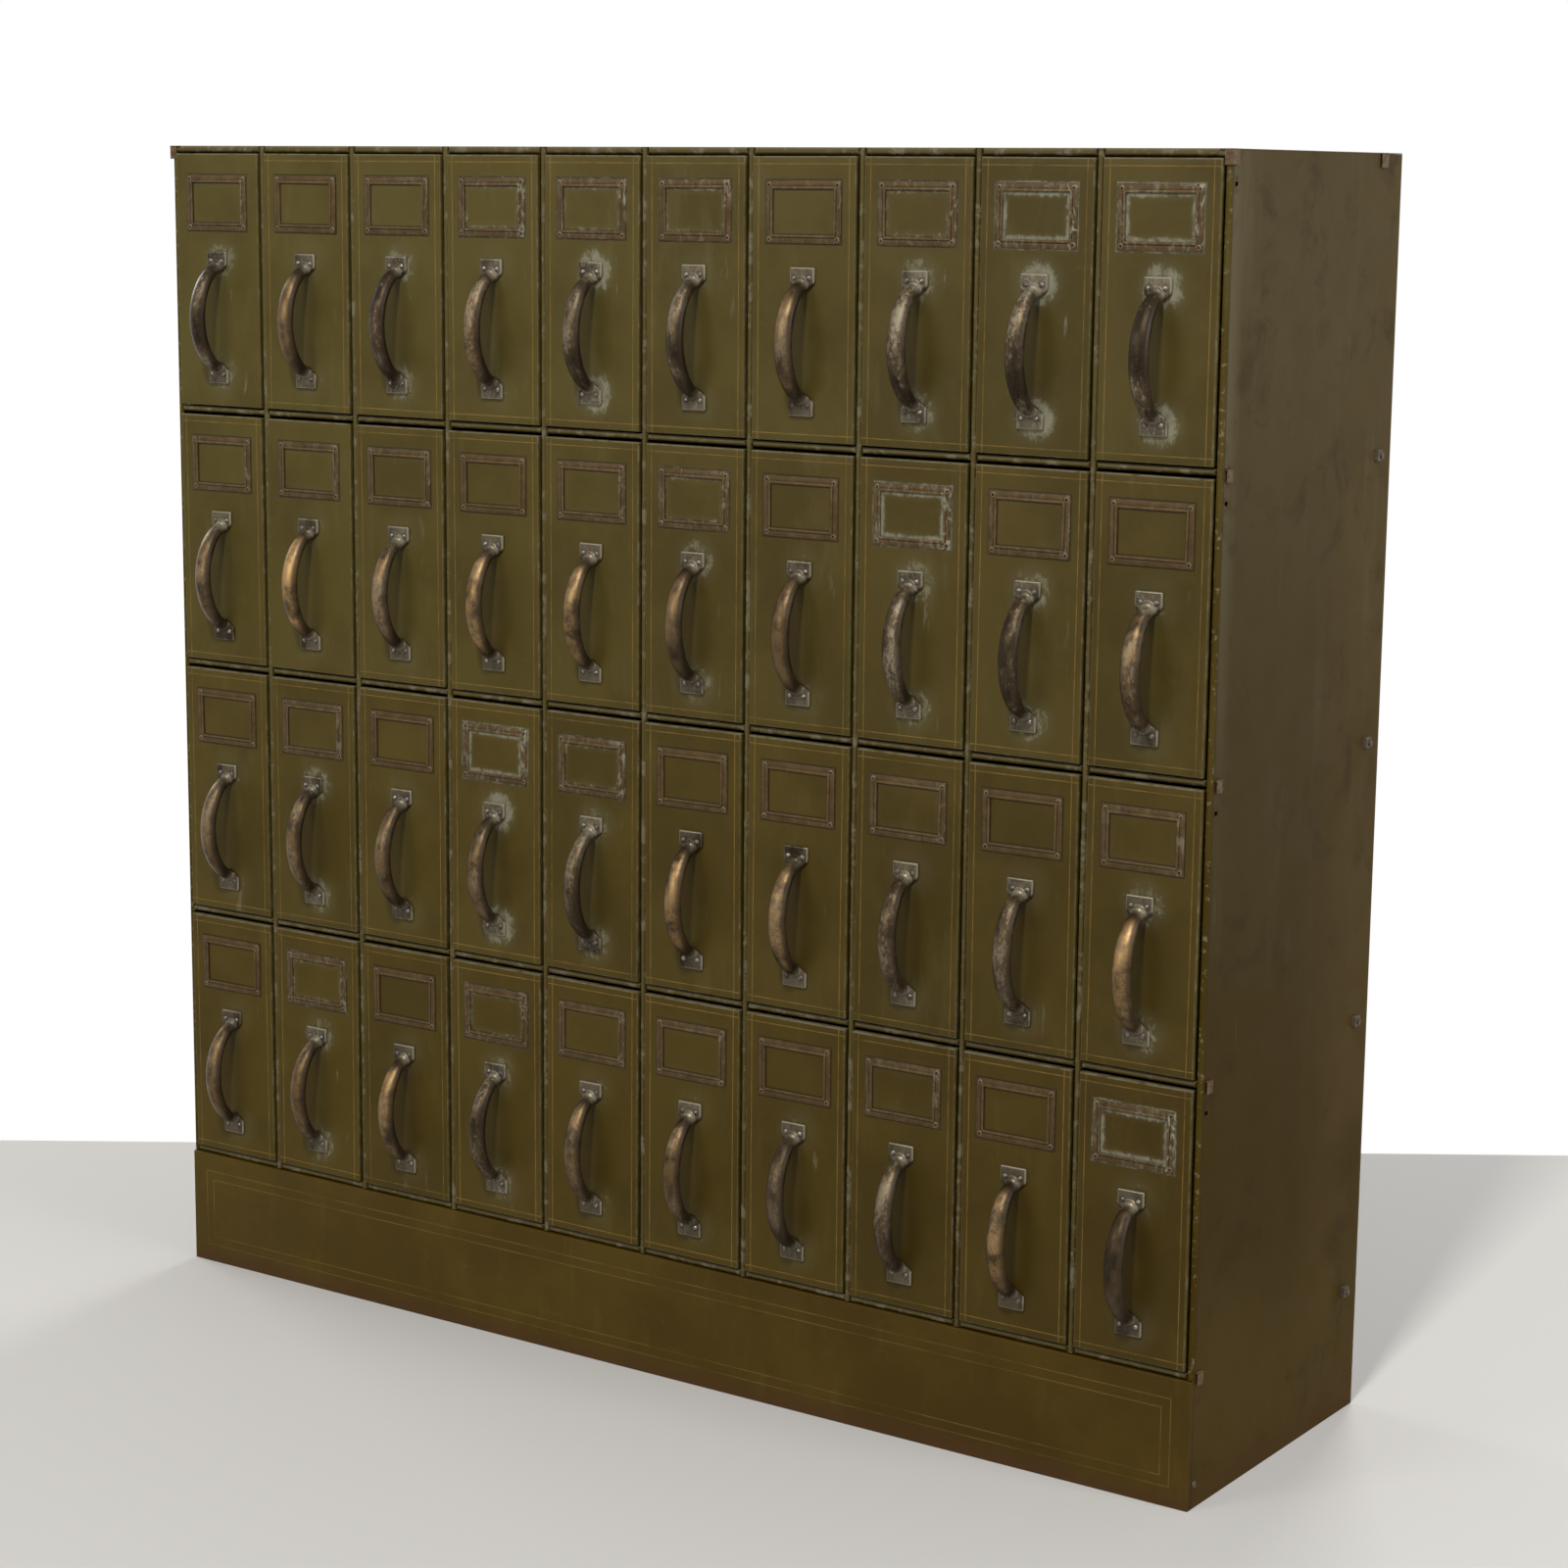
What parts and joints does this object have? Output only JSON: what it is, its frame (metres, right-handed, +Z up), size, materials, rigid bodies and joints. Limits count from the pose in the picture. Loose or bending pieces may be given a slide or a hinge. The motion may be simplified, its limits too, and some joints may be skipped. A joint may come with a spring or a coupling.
{
  "type": "document file cabinet",
  "caption": "Free-standing sheet steel cabinet on a plinth: a grid of tall narrow drawers, each with a label holder and an upright bow handle.",
  "frame": {"origin": "on the floor, at the centre of the footprint that includes the handles", "axes": "+Z up; drawers open towards -Y; +X to the right of someone facing the drawers; the back is towards +Y"},
  "size_m": [1.29, 0.3945, 1.2506],
  "materials": {
    "olive_case_paint": "worn satin olive enamel",
    "olive_drawer_paint": "worn satin olive enamel with a fine gilt line, and bronze coloured handle and label holder",
    "zinc_hardware": "dull plated"
  },
  "bodies": {
    "case": {"left_side_panel": "olive_case_paint", "right_side_panel": "olive_case_paint", "back_panel": "olive_case_paint", "top_panel": "olive_case_paint", "plinth_front": "olive_case_paint", "plinth_screws": "zinc_hardware", "tie_rods_and_nuts": "zinc_hardware", "divider_1": "olive_case_paint", "divider_2": "olive_case_paint", "divider_3": "olive_case_paint", "divider_4": "olive_case_paint", "divider_5": "olive_case_paint", "divider_6": "olive_case_paint", "divider_7": "olive_case_paint", "divider_8": "olive_case_paint", "divider_9": "olive_case_paint", "shelf_1": "olive_case_paint", "shelf_2": "olive_case_paint", "shelf_3": "olive_case_paint", "shelf_4": "olive_case_paint"},
    "drawer_body_r1_c1": {"drawer_r1_c1": "olive_drawer_paint"},
    "drawer_body_r1_c2": {"drawer_r1_c2": "olive_drawer_paint"},
    "drawer_body_r1_c3": {"drawer_r1_c3": "olive_drawer_paint"},
    "drawer_body_r1_c4": {"drawer_r1_c4": "olive_drawer_paint"},
    "drawer_body_r1_c5": {"drawer_r1_c5": "olive_drawer_paint"},
    "drawer_body_r1_c6": {"drawer_r1_c6": "olive_drawer_paint"},
    "drawer_body_r1_c7": {"drawer_r1_c7": "olive_drawer_paint"},
    "drawer_body_r1_c8": {"drawer_r1_c8": "olive_drawer_paint"},
    "drawer_body_r1_c9": {"drawer_r1_c9": "olive_drawer_paint"},
    "drawer_body_r1_c10": {"drawer_r1_c10": "olive_drawer_paint"},
    "drawer_body_r2_c1": {"drawer_r2_c1": "olive_drawer_paint"},
    "drawer_body_r2_c2": {"drawer_r2_c2": "olive_drawer_paint"},
    "drawer_body_r2_c3": {"drawer_r2_c3": "olive_drawer_paint"},
    "drawer_body_r2_c4": {"drawer_r2_c4": "olive_drawer_paint"},
    "drawer_body_r2_c5": {"drawer_r2_c5": "olive_drawer_paint"},
    "drawer_body_r2_c6": {"drawer_r2_c6": "olive_drawer_paint"},
    "drawer_body_r2_c7": {"drawer_r2_c7": "olive_drawer_paint"},
    "drawer_body_r2_c8": {"drawer_r2_c8": "olive_drawer_paint"},
    "drawer_body_r2_c9": {"drawer_r2_c9": "olive_drawer_paint"},
    "drawer_body_r2_c10": {"drawer_r2_c10": "olive_drawer_paint"},
    "drawer_body_r3_c1": {"drawer_r3_c1": "olive_drawer_paint"},
    "drawer_body_r3_c2": {"drawer_r3_c2": "olive_drawer_paint"},
    "drawer_body_r3_c3": {"drawer_r3_c3": "olive_drawer_paint"},
    "drawer_body_r3_c4": {"drawer_r3_c4": "olive_drawer_paint"},
    "drawer_body_r3_c5": {"drawer_r3_c5": "olive_drawer_paint"},
    "drawer_body_r3_c6": {"drawer_r3_c6": "olive_drawer_paint"},
    "drawer_body_r3_c7": {"drawer_r3_c7": "olive_drawer_paint"},
    "drawer_body_r3_c8": {"drawer_r3_c8": "olive_drawer_paint"},
    "drawer_body_r3_c9": {"drawer_r3_c9": "olive_drawer_paint"},
    "drawer_body_r3_c10": {"drawer_r3_c10": "olive_drawer_paint"},
    "drawer_body_r4_c1": {"drawer_r4_c1": "olive_drawer_paint"},
    "drawer_body_r4_c2": {"drawer_r4_c2": "olive_drawer_paint"},
    "drawer_body_r4_c3": {"drawer_r4_c3": "olive_drawer_paint"},
    "drawer_body_r4_c4": {"drawer_r4_c4": "olive_drawer_paint"},
    "drawer_body_r4_c5": {"drawer_r4_c5": "olive_drawer_paint"},
    "drawer_body_r4_c6": {"drawer_r4_c6": "olive_drawer_paint"},
    "drawer_body_r4_c7": {"drawer_r4_c7": "olive_drawer_paint"},
    "drawer_body_r4_c8": {"drawer_r4_c8": "olive_drawer_paint"},
    "drawer_body_r4_c9": {"drawer_r4_c9": "olive_drawer_paint"},
    "drawer_body_r4_c10": {"drawer_r4_c10": "olive_drawer_paint"}
  },
  "joints": [
    {"name": "slide_r1_c1", "type": "slide", "parent": "case", "child": "drawer_body_r1_c1", "axis": [0, -1, 0], "range_m": [0, 0.29]},
    {"name": "slide_r1_c2", "type": "slide", "parent": "case", "child": "drawer_body_r1_c2", "axis": [0, -1, 0], "range_m": [0, 0.29]},
    {"name": "slide_r1_c3", "type": "slide", "parent": "case", "child": "drawer_body_r1_c3", "axis": [0, -1, 0], "range_m": [0, 0.29]},
    {"name": "slide_r1_c4", "type": "slide", "parent": "case", "child": "drawer_body_r1_c4", "axis": [0, -1, 0], "range_m": [0, 0.29]},
    {"name": "slide_r1_c5", "type": "slide", "parent": "case", "child": "drawer_body_r1_c5", "axis": [0, -1, 0], "range_m": [0, 0.29]},
    {"name": "slide_r1_c6", "type": "slide", "parent": "case", "child": "drawer_body_r1_c6", "axis": [0, -1, 0], "range_m": [0, 0.29]},
    {"name": "slide_r1_c7", "type": "slide", "parent": "case", "child": "drawer_body_r1_c7", "axis": [0, -1, 0], "range_m": [0, 0.29]},
    {"name": "slide_r1_c8", "type": "slide", "parent": "case", "child": "drawer_body_r1_c8", "axis": [0, -1, 0], "range_m": [0, 0.29]},
    {"name": "slide_r1_c9", "type": "slide", "parent": "case", "child": "drawer_body_r1_c9", "axis": [0, -1, 0], "range_m": [0, 0.29]},
    {"name": "slide_r1_c10", "type": "slide", "parent": "case", "child": "drawer_body_r1_c10", "axis": [0, -1, 0], "range_m": [0, 0.29]},
    {"name": "slide_r2_c1", "type": "slide", "parent": "case", "child": "drawer_body_r2_c1", "axis": [0, -1, 0], "range_m": [0, 0.29]},
    {"name": "slide_r2_c2", "type": "slide", "parent": "case", "child": "drawer_body_r2_c2", "axis": [0, -1, 0], "range_m": [0, 0.29]},
    {"name": "slide_r2_c3", "type": "slide", "parent": "case", "child": "drawer_body_r2_c3", "axis": [0, -1, 0], "range_m": [0, 0.29]},
    {"name": "slide_r2_c4", "type": "slide", "parent": "case", "child": "drawer_body_r2_c4", "axis": [0, -1, 0], "range_m": [0, 0.29]},
    {"name": "slide_r2_c5", "type": "slide", "parent": "case", "child": "drawer_body_r2_c5", "axis": [0, -1, 0], "range_m": [0, 0.29]},
    {"name": "slide_r2_c6", "type": "slide", "parent": "case", "child": "drawer_body_r2_c6", "axis": [0, -1, 0], "range_m": [0, 0.29]},
    {"name": "slide_r2_c7", "type": "slide", "parent": "case", "child": "drawer_body_r2_c7", "axis": [0, -1, 0], "range_m": [0, 0.29]},
    {"name": "slide_r2_c8", "type": "slide", "parent": "case", "child": "drawer_body_r2_c8", "axis": [0, -1, 0], "range_m": [0, 0.29]},
    {"name": "slide_r2_c9", "type": "slide", "parent": "case", "child": "drawer_body_r2_c9", "axis": [0, -1, 0], "range_m": [0, 0.29]},
    {"name": "slide_r2_c10", "type": "slide", "parent": "case", "child": "drawer_body_r2_c10", "axis": [0, -1, 0], "range_m": [0, 0.29]},
    {"name": "slide_r3_c1", "type": "slide", "parent": "case", "child": "drawer_body_r3_c1", "axis": [0, -1, 0], "range_m": [0, 0.29]},
    {"name": "slide_r3_c2", "type": "slide", "parent": "case", "child": "drawer_body_r3_c2", "axis": [0, -1, 0], "range_m": [0, 0.29]},
    {"name": "slide_r3_c3", "type": "slide", "parent": "case", "child": "drawer_body_r3_c3", "axis": [0, -1, 0], "range_m": [0, 0.29]},
    {"name": "slide_r3_c4", "type": "slide", "parent": "case", "child": "drawer_body_r3_c4", "axis": [0, -1, 0], "range_m": [0, 0.29]},
    {"name": "slide_r3_c5", "type": "slide", "parent": "case", "child": "drawer_body_r3_c5", "axis": [0, -1, 0], "range_m": [0, 0.29]},
    {"name": "slide_r3_c6", "type": "slide", "parent": "case", "child": "drawer_body_r3_c6", "axis": [0, -1, 0], "range_m": [0, 0.29]},
    {"name": "slide_r3_c7", "type": "slide", "parent": "case", "child": "drawer_body_r3_c7", "axis": [0, -1, 0], "range_m": [0, 0.29]},
    {"name": "slide_r3_c8", "type": "slide", "parent": "case", "child": "drawer_body_r3_c8", "axis": [0, -1, 0], "range_m": [0, 0.29]},
    {"name": "slide_r3_c9", "type": "slide", "parent": "case", "child": "drawer_body_r3_c9", "axis": [0, -1, 0], "range_m": [0, 0.29]},
    {"name": "slide_r3_c10", "type": "slide", "parent": "case", "child": "drawer_body_r3_c10", "axis": [0, -1, 0], "range_m": [0, 0.29]},
    {"name": "slide_r4_c1", "type": "slide", "parent": "case", "child": "drawer_body_r4_c1", "axis": [0, -1, 0], "range_m": [0, 0.29]},
    {"name": "slide_r4_c2", "type": "slide", "parent": "case", "child": "drawer_body_r4_c2", "axis": [0, -1, 0], "range_m": [0, 0.29]},
    {"name": "slide_r4_c3", "type": "slide", "parent": "case", "child": "drawer_body_r4_c3", "axis": [0, -1, 0], "range_m": [0, 0.29]},
    {"name": "slide_r4_c4", "type": "slide", "parent": "case", "child": "drawer_body_r4_c4", "axis": [0, -1, 0], "range_m": [0, 0.29]},
    {"name": "slide_r4_c5", "type": "slide", "parent": "case", "child": "drawer_body_r4_c5", "axis": [0, -1, 0], "range_m": [0, 0.29]},
    {"name": "slide_r4_c6", "type": "slide", "parent": "case", "child": "drawer_body_r4_c6", "axis": [0, -1, 0], "range_m": [0, 0.29]},
    {"name": "slide_r4_c7", "type": "slide", "parent": "case", "child": "drawer_body_r4_c7", "axis": [0, -1, 0], "range_m": [0, 0.29]},
    {"name": "slide_r4_c8", "type": "slide", "parent": "case", "child": "drawer_body_r4_c8", "axis": [0, -1, 0], "range_m": [0, 0.29]},
    {"name": "slide_r4_c9", "type": "slide", "parent": "case", "child": "drawer_body_r4_c9", "axis": [0, -1, 0], "range_m": [0, 0.29]},
    {"name": "slide_r4_c10", "type": "slide", "parent": "case", "child": "drawer_body_r4_c10", "axis": [0, -1, 0], "range_m": [0, 0.29]}
  ]
}
